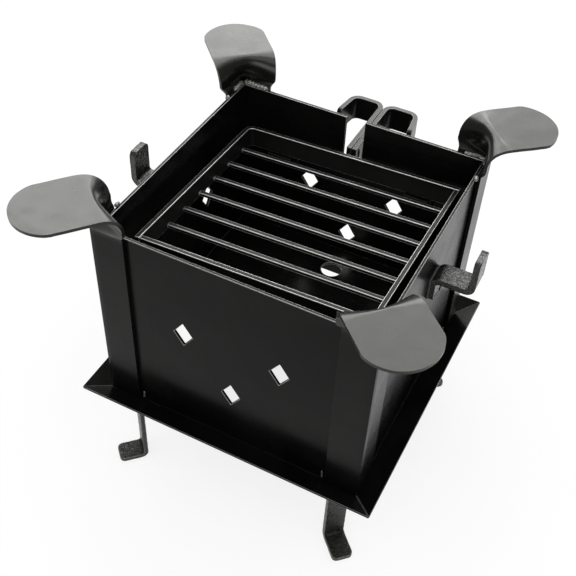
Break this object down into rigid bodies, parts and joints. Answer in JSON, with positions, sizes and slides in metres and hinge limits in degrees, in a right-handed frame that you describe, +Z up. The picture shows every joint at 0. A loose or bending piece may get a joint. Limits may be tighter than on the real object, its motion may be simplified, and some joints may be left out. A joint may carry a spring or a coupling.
{
  "type": "coal forge",
  "caption": "Open-topped square coal forge on splayed feet, with flared corner rests for a pan, a sloping tray rim, hanging hooks, air holes and a lift-out bar grate.",
  "frame": {"origin": "middle of the overall footprint, on the ground under the feet", "axes": "+Z up; the wall with the rim notch and the rear hooks is at +Y, the front wall at -Y, the side hooks point along -X and +X"},
  "size_m": [0.3553, 0.3851, 0.344],
  "materials": {
    "front_wall": "satin black paint over steel plate",
    "back_wall": "satin black paint over steel plate",
    "left_wall": "satin black paint over steel plate",
    "right_wall": "satin black paint over steel plate",
    "floor_plate": "satin black paint over steel plate",
    "corner_post_front_left": "satin black paint over steel plate",
    "corner_post_front_right": "satin black paint over steel plate",
    "corner_post_back_left": "satin black paint over steel plate",
    "corner_post_back_right": "satin black paint over steel plate",
    "tray_lip_front": "satin black paint over steel plate",
    "tray_lip_back": "satin black paint over steel plate",
    "tray_lip_left": "satin black paint over steel plate",
    "tray_lip_right": "satin black paint over steel plate",
    "leg_front_left": "black paint over rough forge scale",
    "leg_front_right": "black paint over rough forge scale",
    "leg_back_left": "black paint over rough forge scale",
    "leg_back_right": "black paint over rough forge scale",
    "side_hook_left": "black paint over rough forge scale",
    "side_hook_right": "black paint over rough forge scale",
    "rear_hook_left": "satin black paint over steel plate",
    "rear_hook_right": "satin black paint over steel plate",
    "grate_lug_front_left": "satin black paint over steel plate",
    "grate_lug_front_right": "satin black paint over steel plate",
    "grate_lug_back_left": "satin black paint over steel plate",
    "grate_lug_back_right": "satin black paint over steel plate",
    "grate_frame_back_left": "thin black paint over bar, edges worn brighter",
    "grate_frame_front_right": "thin black paint over bar, edges worn brighter",
    "grate_bar_1": "thin black paint over bar, edges worn brighter",
    "grate_bar_2": "thin black paint over bar, edges worn brighter",
    "grate_bar_3": "thin black paint over bar, edges worn brighter",
    "grate_bar_4": "thin black paint over bar, edges worn brighter",
    "grate_bar_5": "thin black paint over bar, edges worn brighter",
    "grate_bar_6": "thin black paint over bar, edges worn brighter",
    "grate_bar_7": "thin black paint over bar, edges worn brighter"
  },
  "bodies": {
    "forge": {"front_wall": "front_wall", "back_wall": "back_wall", "left_wall": "left_wall", "right_wall": "right_wall", "floor_plate": "floor_plate", "corner_post_front_left": "corner_post_front_left", "corner_post_front_right": "corner_post_front_right", "corner_post_back_left": "corner_post_back_left", "corner_post_back_right": "corner_post_back_right", "tray_lip_front": "tray_lip_front", "tray_lip_back": "tray_lip_back", "tray_lip_left": "tray_lip_left", "tray_lip_right": "tray_lip_right", "leg_front_left": "leg_front_left", "leg_front_right": "leg_front_right", "leg_back_left": "leg_back_left", "leg_back_right": "leg_back_right", "side_hook_left": "side_hook_left", "side_hook_right": "side_hook_right", "rear_hook_left": "rear_hook_left", "rear_hook_right": "rear_hook_right", "grate_lug_front_left": "grate_lug_front_left", "grate_lug_front_right": "grate_lug_front_right", "grate_lug_back_left": "grate_lug_back_left", "grate_lug_back_right": "grate_lug_back_right"},
    "grate": {"grate_frame_back_left": "grate_frame_back_left", "grate_frame_front_right": "grate_frame_front_right", "grate_bar_1": "grate_bar_1", "grate_bar_2": "grate_bar_2", "grate_bar_3": "grate_bar_3", "grate_bar_4": "grate_bar_4", "grate_bar_5": "grate_bar_5", "grate_bar_6": "grate_bar_6", "grate_bar_7": "grate_bar_7"}
  },
  "joints": [
    {"name": "grate_lift", "type": "slide", "parent": "forge", "child": "grate", "axis": [0, 0, 1], "range_m": [0, 0.15]}
  ]
}
